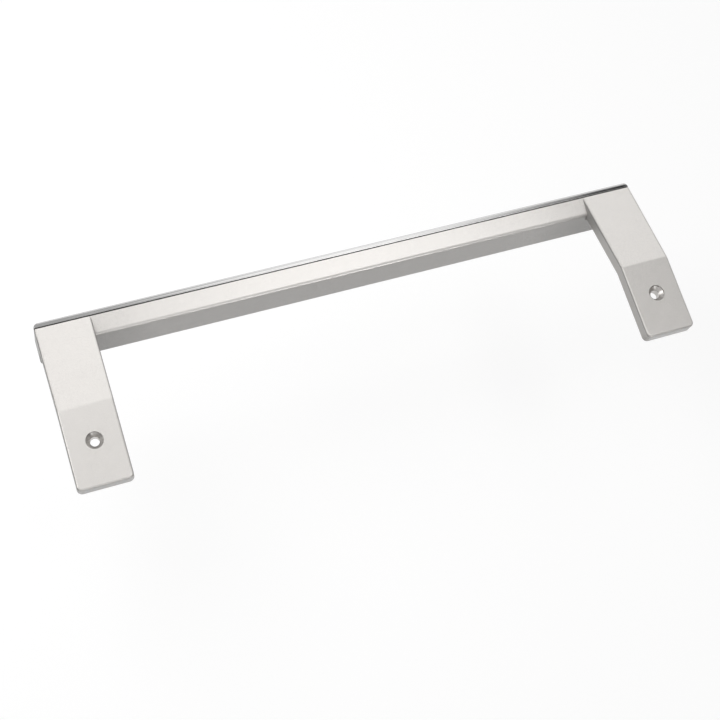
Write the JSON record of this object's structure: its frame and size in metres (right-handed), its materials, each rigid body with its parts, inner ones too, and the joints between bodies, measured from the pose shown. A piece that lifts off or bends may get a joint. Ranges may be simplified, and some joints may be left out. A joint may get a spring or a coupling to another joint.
{
  "type": "refrigerator door handle",
  "caption": "Side-mounted refrigerator door handle: a long straight grip bar on bent legs that end in flat screw feet, with a slim bright trim strip along the bar.",
  "frame": {"origin": "midway between the two screw holes, on the feet's mounting plane", "axes": "+X along the grip bar, +Y from the screw holes towards the grip bar, which is forward from the door, +Z out of the door's side edge, the way the screw heads face"},
  "size_m": [0.3574, 0.0986, 0.0364],
  "materials": {
    "silver_paint": "satin silver paint on moulded plastic",
    "trim_plating": "bright plated plastic strip"
  },
  "bodies": {
    "root": {"handle_body": "silver_paint", "chrome_trim": "trim_plating"}
  },
  "joints": []
}
